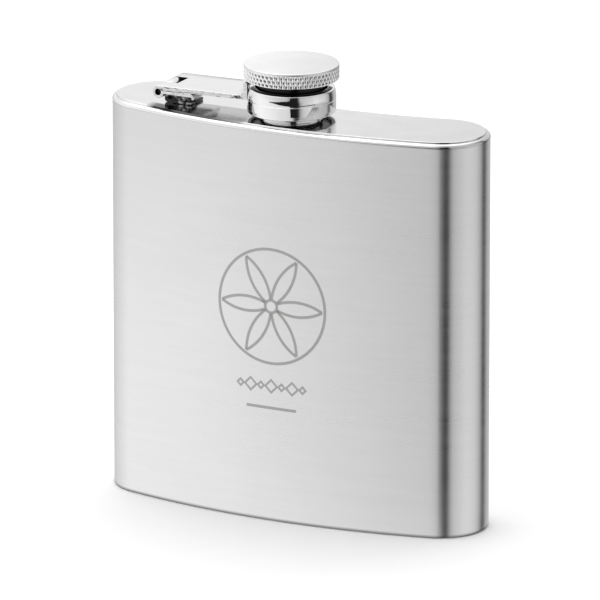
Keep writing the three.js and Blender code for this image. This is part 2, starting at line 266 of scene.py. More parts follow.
def clamped(value):
    return min(max(value, 0), 1)


def round_neck(radius, angle, z):
    return (NECK_X + radius * math.cos(angle), NECK_Y + radius * math.sin(angle), z)


def turned(name, profile, around=160, closed=True, sharp_degrees=35, rows=(), relief=None):
    """A profile of (radius, z) turned about the neck, with relief(angle, z) added on some rows."""

    def point(i, j):
        angle = TAU * i / around
        radius, z = profile[j]
        if j in rows:
            radius += relief(angle, z)
        return round_neck(radius, angle, z)

    return loop_mesh(name, point, around, len(profile), sharp_degrees, closed)


def modified(piece, kind, **settings):
    """Adds a modifier and applies it at once."""
    modifier = piece.modifiers.new(kind.lower(), kind)
    for key, value in settings.items():
        setattr(modifier, key, value)
    graph = bpy.context.evaluated_depsgraph_get()
    mesh = bpy.data.meshes.new_from_object(piece.evaluated_get(graph))
    piece.modifiers.clear()
    piece.data = mesh


def boolean(piece, other, operation):
    """Joins or cuts piece with other, which is used up."""
    modified(piece, "BOOLEAN", object=other, operation=operation, solver="EXACT")
    bpy.data.objects.remove(other)
    return piece


def extruded(name, outline_xz, half_width, bevel=0.07):
    """A strip seen from the side, with the pin's bore through it, extruded across y = NECK_Y.

    The edges are rounded by bevel, which stays inside the outline and the width.
    """
    curve = bpy.data.curves.new(name, "CURVE")
    curve.dimensions = "2D"
    curve.fill_mode = "BOTH"
    curve.extrude = (half_width - bevel) * MM
    curve.bevel_depth = bevel * MM
    curve.bevel_resolution = 2
    curve.offset = -bevel * MM
    for loop in (outline_xz, circle_points(PIN.x, PIN.z, KNUCKLE_BORE)):
        spline = curve.splines.new("POLY")
        spline.points.add(len(loop) - 1)
        for point, (x, z) in zip(spline.points, loop):
            point.co = (x * MM, z * MM, 0, 1)
        spline.use_cyclic_u = True
    source = bpy.data.objects.new(name + "_curve", curve)
    bpy.context.scene.collection.objects.link(source)
    graph = bpy.context.evaluated_depsgraph_get()
    mesh = bpy.data.meshes.new_from_object(source.evaluated_get(graph))
    bpy.data.objects.remove(source)
    for vertex in mesh.vertices:
        x, z, y = vertex.co
        vertex.co = (x, NECK_Y * MM - y, z)
    piece = bpy.data.objects.new(name, mesh)
    bpy.context.scene.collection.objects.link(piece)
    modified(piece, "WELD", merge_threshold=0.002 * MM)
    return smooth(piece)


def box_piece(name, xs, half_width, zs, bevel=0.0):
    """A box across y = NECK_Y, between two places in x and in z, with its edges rounded."""
    ys = (NECK_Y - half_width, NECK_Y + half_width)
    corners = [(x, y, z) for x in xs for y in ys for z in zs]
    faces = [(0, 1, 3, 2), (4, 6, 7, 5), (0, 4, 5, 1), (2, 3, 7, 6), (0, 2, 6, 4), (1, 5, 7, 3)]
    piece = new_object(name, corners, faces)
    if bevel:
        modified(piece, "BEVEL", width=bevel * MM, segments=3, limit_method="ANGLE")
    return piece


def paint(piece, materials, choose=None):
    """Gives a piece its materials. choose(polygon, centre in millimetres) is a face's number."""
    piece.data.materials.clear()
    for material in materials:
        piece.data.materials.append(material)
    if choose:
        for polygon in piece.data.polygons:
            polygon.material_index = choose(polygon, polygon.center / MM)


def from_neck(point):
    return math.hypot(point.x - NECK_X, point.y - NECK_Y)


def from_pin(point):
    return math.hypot(point.x - PIN.x, point.z - PIN.z)


# ---- Body outline -----------------------------------------------------------
FACE_STEPS = 72
END_STEPS = 40


def outline():
    """(x, y, normal x, normal y) round the outside of the body, anticlockwise from above."""
    end_y = BEND_CENTRE_Y - BEND_RADIUS * math.cos(END_ANGLE)
    quarter = math.pi / 2
    front = (-quarter - END_ANGLE, -quarter + END_ANGLE)
    right = (-quarter + END_ANGLE, quarter + END_ANGLE)
    left = (quarter - END_ANGLE, 3 * quarter - END_ANGLE)
    # x and y of the centre, radius, first and last angle, steps, and -1 where it is hollow
    stretches = [
        (0, BEND_CENTRE_Y, BEND_RADIUS + HALF_THICKNESS, *front, FACE_STEPS, 1),
        (END_X, end_y, HALF_THICKNESS, *right, END_STEPS, 1),
        (0, BEND_CENTRE_Y, BEND_RADIUS - HALF_THICKNESS, *reversed(front), FACE_STEPS, -1),
        (-END_X, end_y, HALF_THICKNESS, *left, END_STEPS, 1),
    ]
    points = []
    for x, y, radius, start, end, steps, sign in stretches:
        for i in range(steps):
            angle = start + (end - start) * i / steps
            across = math.cos(angle)
            up = math.sin(angle)
            points.append((x + radius * across, y + radius * up, sign * across, sign * up))
    return points


OUTLINE = outline()
AROUND = len(OUTLINE)


def inset_point(i, inset, z):
    x, y, nx, ny = OUTLINE[i % AROUND]
    return (x - nx * inset, y - ny * inset, z)


# ---- Body pieces ------------------------------------------------------------
def flask_wall():
    """The wall and the rim in one sheet: brushed steel, a fine line and a polished bead."""
    rim_z = BODY_TOP - RIM_RADIUS
    line_z = rim_z - 0.12
    line_inset = STEP + GROOVE_DEPTH
    lip_edge = 0.1
    inner_z = BODY_TOP - RIM_DEPTH
    profile = [
        (BASE_LIP, BASE_LIP_HEIGHT),
        *arc(BASE_LIP - lip_edge, lip_edge, lip_edge, 0, -90, 2),
        *arc(STEP + BASE_RADIUS, BASE_RADIUS, BASE_RADIUS, 270, 180, 6),
        *divided((STEP, BASE_RADIUS), (STEP, line_z), 12),
        (STEP, line_z),
        (line_inset, line_z + 0.03),
        (line_inset, line_z + 0.07),
        (0, rim_z),
    ]
    rim_start = (len(profile) - 2) * AROUND
    profile += [
        *arc(RIM_RADIUS, rim_z, RIM_RADIUS, 180, 90, 14)[1:],
        (RIM_WIDTH - 0.02, BODY_TOP - 0.01),
        (RIM_WIDTH, BODY_TOP - 0.04),
        (RIM_WIDTH, inner_z),
        (WALL, inner_z - 1.0),
        (WALL, BASE_LIP_HEIGHT),
    ]
    piece = loop_mesh("flask_wall", lambda i, j: inset_point(i, *profile[j]), AROUND, len(profile), 40)
    paint(piece, [BRUSHED, POLISHED], lambda polygon, centre: int(polygon.index >= rim_start))
    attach(piece, "flask")
    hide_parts("body_shell")
    return piece


def top_panel():
    """The plate inside the rim, with a round hole at the neck."""
    inset = RIM_WIDTH + 0.02
    edge = 0.12
    flat_inset = inset + 3 * edge
    hole = NECK_RADIUS + 0.1
    round_hole = hole + 0.6
    rows = [
        ("outline", inset, PANEL_BOTTOM),
        *(("outline", a, z) for a, z in arc(inset + edge, PANEL_TOP - edge, edge, 180, 90, 5)),
        ("outline", flat_inset, PANEL_TOP),
        ("halfway", round_hole, PANEL_TOP),
        ("circle", round_hole, PANEL_TOP),
        ("circle", hole, PANEL_TOP),
        ("circle", hole, PANEL_BOTTOM),
    ]

    def point(i, j):
        kind, amount, z = rows[j]
        if kind == "outline":
            return inset_point(i, amount, z)
        outside = Vector(inset_point(i, flat_inset, z))
        inside = Vector(round_neck(amount, math.atan2(outside.y - NECK_Y, outside.x - NECK_X), z))
        return inside if kind == "circle" else (outside + inside) / 2

    piece = loop_mesh("top_panel_plate", point, AROUND, len(rows), 30)
    paint(piece, [PANEL])
    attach(piece, "flask")
    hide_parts("top_panel")
    return piece


def bottom_panel():
    """The base plate, dished a little inside its edge, so that the flask stands on the edge."""
    edge = 0.12
    dish = 0.3
    inset = BASE_LIP + edge
    rows = [
        (inset, 0.78),
        (inset, edge),
        (inset + edge, 0.0),
        (inset + 1.6, 0.0),
        (inset + 2.4, dish - 0.05),
        (inset + 4.5, dish),
    ]
    vertices = [inset_point(i, *row) for row in rows for i in range(AROUND)]
    last = (len(rows) - 1) * AROUND
    faces = [
        quad(first, first + AROUND, i, (i + 1) % AROUND)
        for first in range(0, last, AROUND)
        for i in range(AROUND)
    ]
    faces += strip_across(last, False)
    faces += strip_across(0, True)
    piece = new_object("bottom_panel_plate", vertices, faces, 30)
    paint(piece, [BRUSHED])
    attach(piece, "flask")
    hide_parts("bottom_panel")
    return piece


def strip_across(first, upward):
    """Faces that fill a closed row of the outline, from one end of the body to the other."""
    start = FACE_STEPS + END_STEPS // 2
    faces = []
    for n in range(AROUND // 2):
        steps = (start + n, start + n + 1, start - n - 1, start - n)
        face = list(dict.fromkeys(first + step % AROUND for step in steps))
        if len(face) > 2:
            faces.append(tuple(face if upward else reversed(face)))
    return faces


# ---- Neck and cap -----------------------------------------------------------
def thread_height(angle, z, phase):
    """1 on the thread's crest and 0 off it. The ends of the thread run out smoothly."""
    turns = (z - THREAD_START) / PITCH - (angle + phase) / TAU
    from_crest = ((turns + 0.5) % 1 - 0.5) * PITCH
    crest = z - from_crest
    ridge = clamped((THREAD_HALF_WIDTH - abs(from_crest)) / THREAD_FLANK)
    starts = clamped((crest - THREAD_START + THREAD_FLANK) / THREAD_RUN_OUT)
    ends = clamped((THREAD_END + THREAD_FLANK - crest) / THREAD_RUN_OUT)
    return ridge * starts * ends


def neck_tube():
    """The threaded neck, on a flange below the top panel."""
    flange_top = NECK_BOTTOM + NECK_FLANGE_THICKNESS
    lip = 0.3
    lip_z = NECK_TOP - lip
    thread_low = (NECK_RADIUS, THREAD_FOOT)
    thread_high = (NECK_RADIUS, lip_z)
    profile = [
        (NECK_BORE, NECK_BOTTOM),
        (NECK_FLANGE_RADIUS, NECK_BOTTOM),
        (NECK_FLANGE_RADIUS, flange_top),
        (NECK_RADIUS, flange_top),
        thread_low,
    ]
    threaded = divided(thread_low, thread_high, THREAD_STEPS)
    rows = range(len(profile), len(profile) + len(threaded))
    profile += [
        *threaded,
        thread_high,
        *arc(NECK_RADIUS - lip, lip_z, lip, 0, 90, 5)[1:],
        *arc(NECK_BORE + lip, lip_z, lip, 90, 180, 5),
        *divided((NECK_BORE, lip_z), (NECK_BORE, NECK_BOTTOM), 4),
    ]

    def thread(angle, z):
        return (NECK_CREST - NECK_RADIUS) * thread_height(angle, z, 0)

    piece = turned("neck_threaded_tube", profile, 120, True, 50, rows, thread)
    paint(piece, [THREADED])
    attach(piece, "flask")
    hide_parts("neck_tube")
    return piece


def neck_collar():
    """The stepped ring round the foot of the neck."""
    bore = NECK_RADIUS + 0.02
    bottom = PANEL_TOP + 0.02
    step_radius = COLLAR_RADIUS - 0.3
    shelf = PANEL_TOP + 0.9
    shelf_edge = 0.12
    edge = 0.2
    profile = [
        (bore, bottom),
        (COLLAR_RADIUS, bottom),
        (COLLAR_RADIUS, shelf - shelf_edge),
        *arc(COLLAR_RADIUS - shelf_edge, shelf - shelf_edge, shelf_edge, 0, 90, 4)[1:],
        (step_radius, shelf),
        *arc(step_radius - edge, COLLAR_TOP - edge, edge, 0, 90, 6),
        (bore, COLLAR_TOP),
    ]
    piece = turned("neck_collar_ring", profile, 160)
    paint(piece, [POLISHED])
    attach(piece, "flask")
    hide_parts("neck_collar")
    return piece


def knurl_depth(angle, z):
    """0 on a diamond's tip and 1 in the pits where the grooves between diamonds cross."""
    a = KNURLS * angle / TAU + z / DIAMOND_HEIGHT
    b = KNURLS * angle / TAU - z / DIAMOND_HEIGHT
    groove_a = abs(2 * (a % 1) - 1)
    groove_b = abs(2 * (b % 1) - 1)
    return 0.4 * max(groove_a, groove_b) ** 2 + 0.6 * (groove_a * groove_b) ** 1.5


def cap_head():
    """The cap's head: hollow below, a knurled edge and a slightly domed top."""
    chamfer = 0.12
    edge_width = 0.22
    edge_height = 0.4
    edge_steps = 6
    dome_steps = 32
    knurl_low = HEAD_BOTTOM + chamfer
    knurl_high = HEAD_SHOULDER - 0.05
    recess_top = STEM_TOP + 0.02
    profile = [
        (0, recess_top),
        (HEAD_RECESS, recess_top),
        (HEAD_RECESS, HEAD_BOTTOM + 0.1),
        (HEAD_RECESS + 0.1, HEAD_BOTTOM),
        (HEAD_RADIUS - chamfer, HEAD_BOTTOM),
    ]
    knurled = divided((HEAD_RADIUS, knurl_low), (HEAD_RADIUS, knurl_high), KNURL_ROWS)
    rows = range(len(profile) + 1, len(profile) + 1 + len(knurled))
    profile += [(HEAD_RADIUS, knurl_low), *knurled, (HEAD_RADIUS, knurl_high)]
    for step in range(edge_steps + 1):
        angle = math.radians(80 * step / edge_steps)
        inward = edge_width * (1 - math.cos(angle))
        profile.append((HEAD_RADIUS - inward, HEAD_SHOULDER + edge_height * math.sin(angle)))
    edge_radius, edge_z = profile[-1]
    for step in range(1, dome_steps):
        part = 1 - step / dome_steps
        profile.append((edge_radius * part, edge_z + (HEAD_TOP - edge_z) * (1 - part * part)))
    profile.append((0, HEAD_TOP))

    def knurl(angle, z):
        ends = clamped(min((z - knurl_low) / 0.1, (knurl_high - z) / 0.12))
        return -ends * KNURL_DEPTH * knurl_depth(angle, z)

    def choose(polygon, centre):
        # Painted shade: the underside and the recess are near-black.
        in_recess = from_neck(centre) < HEAD_RECESS + 0.2 and centre.z < STEM_TOP + 0.1
        if centre.z < HEAD_BOTTOM + 0.05 or in_recess:
            return 2
        return 1 if centre.z > HEAD_SHOULDER - 0.02 else 0

    piece = turned("cap_knurled_head", profile, KNURLS * KNURL_COLUMNS, False, 28, rows, knurl)
    paint(piece, [KNURLED, SATIN, PAINTED_SHADE], choose)
    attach(piece, "cap")
    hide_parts("cap_head")
    return piece


def cap_sleeve():
    """The stem below the head, threaded inside, with the flange that the ring holds."""
    edge = 0.2
    relief = 0.3
    thread_high = (CAP_BORE, BORE_ROOF - 2 * relief)
    thread_low = (CAP_BORE, FLANGE_BOTTOM + edge)
    profile = [
        (0, BORE_ROOF),
        (CAP_BORE - relief, BORE_ROOF),
        (CAP_BORE, BORE_ROOF - relief),
        thread_high,
    ]
    threaded = divided(thread_high, thread_low, THREAD_STEPS)
    rows = range(len(profile), len(profile) + len(threaded))
    profile += [
        *threaded,
        thread_low,
        (CAP_BORE + edge, FLANGE_BOTTOM),
        *arc(FLANGE_RADIUS - edge, FLANGE_BOTTOM + edge, edge, 270, 360, 4),
        *arc(FLANGE_RADIUS - edge, FLANGE_TOP - edge, edge, 0, 90, 4),
        *arc(STEM_RADIUS + edge, FLANGE_TOP + edge, edge, 270, 180, 4),
        (STEM_RADIUS, HEAD_BOTTOM - relief),
        *arc(STEM_RADIUS + relief, HEAD_BOTTOM - relief, relief, 180, 90, 4)[1:3],
        (STEM_RADIUS + edge, STEM_TOP),
        (0, STEM_TOP),
    ]

    def thread(angle, z):
        return (CAP_CREST - CAP_BORE) * thread_height(angle, z, math.pi)

    piece = turned("cap_threaded_sleeve", profile, 120, False, 50, rows, thread)
    # Painted shade: the whole sleeve is near-black.
    paint(piece, [PAINTED_SHADE])
    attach(piece, "cap")
    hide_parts("cap_sleeve")
    return piece


def cap_gasket():
    """The washer that seals on the mouth of the neck."""
    low = low_mm("cap_gasket").z
    high = high_mm("cap_gasket").z
    radius = radius_mm("cap_gasket")
    hole = 1.5
    inner = 0.2
    outer = 0.25
    profile = [
        *arc(hole + inner, low + inner, inner, 180, 270, 5),
        *divided((hole + inner, low), (radius - outer, low), 4),
        *arc(radius - outer, low + outer, outer, 270, 360, 6),
        *arc(radius - outer, high - outer, outer, 0, 90, 6),
        *arc(hole + inner, high - inner, inner, 90, 180, 5),
    ]
    piece = turned("cap_seal_washer", profile, 120)
    paint(piece, [SILICONE])
    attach(piece, "seal")
    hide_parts("cap_gasket")
    return piece


# ---- Ring, arm and hinge ----------------------------------------------------
def retainer_ring():
    """The band that holds the cap: a fine line, a tapered upper half, a seam and an inner lip."""
    top_radius = RING_RADIUS - RING_TAPER
    crown = RING_TOP - RING_SHOULDER
    foot = 0.42
    lip_edge = 0.22
    inner_edge = 0.2
    taper_steps = 12
    taper = [
        (RING_RADIUS - RING_TAPER * part**2, RING_STEP + (crown - RING_STEP) * part)
        for part in (step / taper_steps for step in range(1, taper_steps + 1))
    ]
    profile = [
        (RING_BORE, RING_BOTTOM + 0.1),
        (RING_BORE + 0.1, RING_BOTTOM),
        *arc(RING_RADIUS - foot, RING_BOTTOM + foot, foot, 275, 335, 5),
        (RING_RADIUS - 0.07, RING_BOTTOM + 0.72),
        *arc(RING_RADIUS - 0.3, RING_BOTTOM + 1.0, 0.3, -20, 0, 2),
        (RING_RADIUS, RING_STEP - 0.06),
        (RING_RADIUS - 0.04, RING_STEP - 0.02),
        (RING_RADIUS - 0.01, RING_STEP + 0.03),
        *taper,
        *arc(top_radius - RING_SHOULDER, crown, RING_SHOULDER, 16, 90, 10)[1:],
        *arc(RING_LIP_BORE + lip_edge, RING_TOP - lip_edge, lip_edge, 90, 180, 5),
        (RING_LIP_BORE, RING_LIP_BOTTOM),
        (RING_BORE - inner_edge, RING_LIP_BOTTOM),
        (RING_BORE, RING_LIP_BOTTOM - inner_edge),
    ]
    seam = math.radians(SEAM_AZIMUTH - 90)
    half = SEAM_HALF_WIDTH / RING_RADIUS

    def from_seam(angle):
        return abs((angle - seam + math.pi) % TAU - math.pi)

    around = 180
    even = [TAU * i / around for i in range(around)]
    by_seam = [(seam + part * half) % TAU for part in (-1.0, -0.35, 0.35, 1.0)]
    angles = sorted([angle for angle in even if from_seam(angle) > 2 * half] + by_seam)

    def point(i, j):
        radius, z = profile[j]
        if from_seam(angles[i]) < 0.5 * half and radius > RING_BORE + 0.3:
            radius -= SEAM_DEPTH
        return round_neck(radius, angles[i], z)

    def choose(polygon, centre):
        # Painted shade: the bore under the lip and the bottom are near-black.
        inside = from_neck(centre) < RING_BORE + 0.3 and centre.z < RING_LIP_BOTTOM + 0.1
        return int(inside or centre.z < RING_BOTTOM + 0.02)

    piece = loop_mesh("retainer_ring_band", point, len(angles), len(profile), 35)
    paint(piece, [POLISHED, PAINTED_SHADE], choose)
    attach(piece, "arm")
    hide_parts("retainer_ring")
    return piece


def arm_outline():
    """The folded strip from the side: the upper layer, the curl round the pin and the lap."""
    top = PIN.z + KNUCKLE_RADIUS
    end_x = NECK_X - RING_RADIUS - GAP + 3
    end_top = top + ARM_RISE
    slit_high = top - ARM_THICKNESS
    slit_low = slit_high - LAP_GAP
    slit_x = PIN.x + KNUCKLE_RADIUS + 0.6
    slope = ARM_RISE / (end_x - PIN.x)
    lap_bottom = slit_low - LAP_THICKNESS
    half_lap = LAP_THICKNESS / 2
    turn = 0.35
    outer_turn = turn + half_lap
    curl_end = 360 + math.degrees(math.asin((lap_bottom - PIN.z) / KNUCKLE_RADIUS))
    tip_z = lap_bottom - LAP_TURN_DOWN + half_lap
    return [
        (end_x, end_top - ARM_THICKNESS),
        (end_x, end_top),
        *arc(PIN.x, PIN.z, KNUCKLE_RADIUS, 90, curl_end, 40),
        *arc(LAP_END_X - LAP_THICKNESS - turn, lap_bottom - turn, turn, 90, 0, 6),
        *arc(LAP_END_X - half_lap, tip_z, half_lap, 180, 360, 10),
        *arc(LAP_END_X - outer_turn, slit_low - outer_turn, outer_turn, 0, 90, 8),
        (slit_x, slit_low),
        *arc(slit_x, (slit_low + slit_high) / 2, LAP_GAP / 2, 250, 110, 4),
        (slit_x, slit_high + slope * (slit_x - PIN.x)),
    ]


def retainer_arm():
    """The folded arm with its window at the hinge and its saddle at the ring."""
    piece = extruded("retainer_arm_strip", arm_outline(), ARM_HALF_WIDTH, 0.1)
    window_x = (PIN.x - KNUCKLE_RADIUS - 1, WINDOW_END_X)
    window = box_piece("window", window_x, WINDOW_HALF_WIDTH, (PIN.z - 3, PIN.z + 3))
    boolean(piece, window, "DIFFERENCE")
    boolean(piece, saddle(), "UNION")
    radius = RING_RADIUS + 0.05
    top = RING_TOP + 3
    clearance = [(0, RING_BOTTOM), (radius, RING_BOTTOM), (radius, top), (0, top)]
    boolean(piece, turned("clearance", clearance, 160, False), "DIFFERENCE")
    smooth(piece, 16)

    def choose(polygon, centre):
        # Painted shade: the lap's underside and the pin's bore are near-black; the cut sides take the
        # sheared steel.
        lap_below = polygon.normal.z < -0.6 and PIN.x + 1 < centre.x < PIN.x + 4
        if lap_below or from_pin(centre) < KNUCKLE_BORE + 0.05:
            return 2
        return int(abs(polygon.normal.y) > 0.98 and abs(centre.y - NECK_Y) > ARM_HALF_WIDTH - 0.1)

    paint(piece, [PLATED, SHEARED, PAINTED_SHADE], choose)
    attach(piece, "arm")
    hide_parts("retainer_arm")
    return piece


def saddle():
    """The upturned end of the arm, curved against the ring and cut in line with the arm."""
    arm_top = PIN.z + KNUCKLE_RADIUS + ARM_RISE
    low = arm_top - ARM_THICKNESS
    inner = RING_RADIUS - 0.1
    outer = RING_RADIUS + GAP + SADDLE_THICKNESS
    edge = 0.12
    section = [
        (inner, low),
        (outer + SADDLE_BEND, low),
        *arc(outer + SADDLE_BEND, arm_top + SADDLE_BEND - 0.04, SADDLE_BEND, 270, 180, 8),
        *arc(outer - edge, SADDLE_TOP - edge, edge, 0, 90, 3),
        (inner, SADDLE_TOP),
    ]
    sides = len(section)
    steps = 40
    half_angle = math.radians(SADDLE_HALF_ANGLE)
    angles = [math.pi - half_angle + 2 * half_angle * i / steps for i in range(steps + 1)]
    vertices = [round_neck(radius, angle, z) for angle in angles for radius, z in section]
    last = steps * sides
    faces = [tuple(range(sides)), tuple(reversed(range(last, last + sides)))]
    for first in range(0, last, sides):
        for j in range(sides):
            k = (j + 1) % sides
            faces.append((first + j, first + sides + j, first + sides + k, first + k))
    piece = new_object("saddle", vertices, faces)
    kept = box_piece("kept", (NECK_X - 20, NECK_X), ARM_HALF_WIDTH - 0.02, (PIN.z - 5, SADDLE_TOP + 5))
    return boolean(piece, kept, "INTERSECT")


def hinge_bracket():
    """The hinge's leaf with its knuckle, on a flat foot with a rounded hump."""
    low = PANEL_TOP + 0.02
    foot_top = low + FOOT_THICKNESS
    foot_low = low_mm("hinge_bracket")
    foot_high = high_mm("hinge_bracket")
    foot_end = foot_low.x + 5
    bend = 0.7
    fillet = 0.3
    left = PIN.x - LEAF_HALF_THICKNESS
    right = PIN.x + LEAF_HALF_THICKNESS
    leaf = [
        *arc(PIN.x, PIN.z, KNUCKLE_RADIUS, -72, 252, 40),
        (left, low + bend),
        *arc(left + bend, low + bend, bend, 180, 270, 6),
        (foot_end, low),
        (foot_end, foot_top),
        *arc(right + fillet, foot_top + fillet, fillet, 270, 180, 4),
    ]
    piece = extruded("hinge_bracket_leaf", leaf, WINDOW_HALF_WIDTH - GAP)
    half_foot = (foot_high.y - foot_low.y) / 2
    foot = box_piece("foot", (HUMP_X[0] + 0.05, foot_high.x), half_foot, (low, foot_top - 0.02), 0.2)
    hump = box_piece("hump", HUMP_X, half_foot - 0.1, (low + 0.05, HUMP_TOP), 0.7)
    boolean(piece, foot, "UNION")
    boolean(piece, hump, "UNION")
    smooth(piece, 16)

    def choose(polygon, centre):
        knuckle = KNUCKLE_BORE + 0.05 < from_pin(centre) < KNUCKLE_RADIUS + 0.05
        return int(knuckle and centre.z > PIN.z - 0.9)

    # Painted dark reflections and shade on all but the knuckle.
    paint(piece, [PAINTED_DARK_REFLECTION, PLATED], choose)
    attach(piece, "flask")
    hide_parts("hinge_bracket")
    return piece


def hinge_pin():
    """A plain pin whose ends are dimpled and set back inside the knuckles."""
    end = PIN_SETBACK - ARM_HALF_WIDTH
    profile = [(0, end + 0.15), (PIN_RADIUS * 0.5, end), (PIN_RADIUS * 0.85, end), (PIN_RADIUS, end + 0.1)]
    profile += [(radius, -y) for radius, y in reversed(profile)]
    around = 48

    def point(i, j):
        angle = TAU * i / around
        radius, y = profile[j]
        return (PIN.x + radius * math.cos(angle), NECK_Y + y, PIN.z - radius * math.sin(angle))

    piece = loop_mesh("hinge_pin_rod", point, around, len(profile), 35, False)
    # Painted shade: the pin is near-black.
    paint(piece, [PAINTED_SHADE])
    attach(piece, "flask")
    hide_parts("hinge_pin")
    return piece


# ---- Laser-marked ornament on the front -------------------------------------
def front_point(s, z, lift):
    """A point on the front face, s round the arc from the middle, lifted off the steel."""
    radius = BEND_RADIUS + HALF_THICKNESS + lift - STEP
    angle = s / (BEND_RADIUS + HALF_THICKNESS)
    return (radius * math.sin(angle), BEND_CENTRE_Y - radius * math.cos(angle), z)


def stroke(points, vertices, faces, closed=False):
    """Adds a thin raised line along (s, z) points to a mesh under construction."""
    first = len(vertices)
    count = len(points)
    for i, (s, z) in enumerate(points):
        before = points[(i - 1) % count] if closed or i else points[0]
        after = points[(i + 1) % count] if closed or i < count - 1 else points[-1]
        along = Vector((after[0] - before[0], after[1] - before[1])).normalized()
        side = Vector((-along.y, along.x)) * MARK_LINE / 2
        for sign, lift in ((1, MARK_ROOT), (1, MARK_HEIGHT), (-1, MARK_HEIGHT), (-1, MARK_ROOT)):
            vertices.append(front_point(s + sign * side.x, z + sign * side.y, lift))
    for i in range(count if closed else count - 1):
        a = first + 4 * i
        b = first + 4 * ((i + 1) % count)
        for j in range(4):
            k = (j + 1) % 4
            faces.append((a + j, b + j, b + k, a + k))
    if not closed:
        last = first + 4 * (count - 1)
        faces.append((first, first + 1, first + 2, first + 3))
        faces.append((last + 3, last + 2, last + 1, last))


def petal_side(n):
    """One of the arcs of the rosette, in the pieces that lie outside its eye."""
    reach = MARK_RADIUS - MARK_LINE
    sweep = math.radians(PETAL_SWEEP)
    steps = 48
    middle = TAU * n / PETALS
    x = MARK_X + reach * math.cos(middle)
    z = MARK_Z + reach * math.sin(middle)
    pieces = [[]]
    for i in range(steps + 1):
        angle = middle + math.pi - sweep / 2 + sweep * i / steps
        point = (x + reach * math.cos(angle), z + reach * math.sin(angle))
        if math.hypot(point[0] - MARK_X, point[1] - MARK_Z) > MARK_EYE:
            pieces[-1].append(point)
        elif pieces[-1]:
            pieces.append([])
    return pieces


def front_mark():
    """A ring round a six-petalled rosette, over a row of lozenges and a short rule."""
    vertices = []
    faces = []
    stroke(circle_points(MARK_X, MARK_Z, MARK_RADIUS, 120), vertices, faces, True)
    stroke(circle_points(MARK_X, MARK_Z, MARK_EYE, 32), vertices, faces, True)
    for n in range(PETALS):
        for points in petal_side(n):
            stroke(points, vertices, faces)
    for step in range(-3, 4):
        size = LOZENGE if step % 2 == 0 else SMALL_LOZENGE
        x = MARK_X + step * (ROW_HALF_WIDTH - LOZENGE) / 3
        corners = [(x - size, ROW_Z), (x, ROW_Z + size), (x + size, ROW_Z), (x, ROW_Z - size)]
        stroke(corners, vertices, faces, True)
    rule = [(MARK_X + RULE_HALF_WIDTH * i / 8, RULE_Z) for i in range(-8, 9)]
    stroke(rule, vertices, faces)
    piece = new_object("front_mark", vertices, faces, 60)
    paint(piece, [ETCHED])
    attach(piece, "flask")
    return piece


# ---- Node helpers -----------------------------------------------------------
def grey(level):
    return (level, level, level, 1)


class Tree:
    """A short way to write nodes. A value is a number or the socket that gives it."""

    def __init__(self, tree):
        self.tree = tree

    def add(self, kind, links=None, **settings):
        node = self.tree.nodes.new(kind)
        for key, value in settings.items():
            setattr(node, key, value)
        for socket, value in (links or {}).items():
            self.set(node, socket, value)
        return node

    def set(self, node, socket, value):
        if isinstance(value, bpy.types.NodeSocket):
            self.tree.links.new(value, node.inputs[socket])
        else:
            node.inputs[socket].default_value = value

    def math(self, operation, a, b=0.0):
        return self.add("ShaderNodeMath", {0: a, 1: b}, operation=operation).outputs[0]

    def multiply(self, a, b):
        return self.math("MULTIPLY", a, b)

    def sum(self, a, b):
        return self.math("ADD", a, b)

    def ramp(self, value, low, high, start=0.3, end=0.7, kind="LINEAR"):
        """Goes from low, where value is start, to high, where it is end."""
        sockets = {"Value": value, "From Min": start, "From Max": end, "To Min": low, "To Max": high}
        return self.add("ShaderNodeMapRange", sockets, interpolation_type=kind).outputs["Result"]

    def between(self, value, low, start, end, high):
        """1 where value is between start and end, falling to 0 at low and at high."""
        return self.multiply(self.ramp(value, 0.0, 1.0, low, start), self.ramp(value, 1.0, 0.0, end, high))


class Material(Tree):
    def __init__(self, name):
        self.material = bpy.data.materials.new(name)
        self.material.use_nodes = True
        super().__init__(self.material.node_tree)
        self.shader = self.tree.nodes["Principled BSDF"]

    def shade(self, **values):
        for key, value in values.items():
            self.set(self.shader, key.replace("_", " "), value)

    def place(self):
        return self.add("ShaderNodeTexCoord").outputs["Object"]

    def axis(self, name):
        """Millimetres along X, Y or Z."""
        metres = self.add("ShaderNodeSeparateXYZ", {0: self.place()}).outputs[name]
        return self.multiply(metres, 1 / MM)

    def vector(self, operation, a, b=(0, 0, 0)):
        return self.add("ShaderNodeVectorMath", {0: a, 1: b}, operation=operation)

    def distance_from(self, x, y):
        """Millimetres from an upright axis at x and y."""
        moved = self.vector("SUBTRACT", self.place(), (x * MM, y * MM, 0)).outputs[0]
        flat = self.vector("MULTIPLY", moved, (1 / MM, 1 / MM, 0)).outputs[0]
        return self.vector("LENGTH", flat).outputs["Value"]

    def noise(self, scale, detail):
        """Noise with scale features to a metre, one number for all axes or one for each."""
        each = scale if isinstance(scale, tuple) else (scale, scale, scale)
        where = self.add("ShaderNodeMapping", {"Vector": self.place(), "Scale": each}).outputs["Vector"]
        sockets = {"Vector": where, "Scale": 1.0, "Detail": detail, "Roughness": 0.6}
        return self.add("ShaderNodeTexNoise", sockets).outputs["Fac"]

    def mix(self, value, a, b, start=0.3, end=0.7):
        """A colour that goes from a, where value is start, to b, where it is end."""
        factor = self.ramp(value, 0.0, 1.0, start, end)
        return self.add("ShaderNodeMix", {0: factor, 6: a, 7: b}, data_type="RGBA").outputs[2]

    def tint(self, colour, level):
        """A colour made lighter or darker by a grey level."""
        sockets = {"Vector": colour, "Scale": level}
        return self.add("ShaderNodeVectorMath", sockets, operation="SCALE").outputs[0]

    def bump(self, height, distance_mm):
        return self.add("ShaderNodeBump", {"Height": height, "Distance": distance_mm * MM}).outputs["Normal"]


# ---- Materials --------------------------------------------------------------
# Features of noise to a metre, for grains that several materials share.
TURNING = (30, 30, 5000)
FINE_GRAIN = 2500


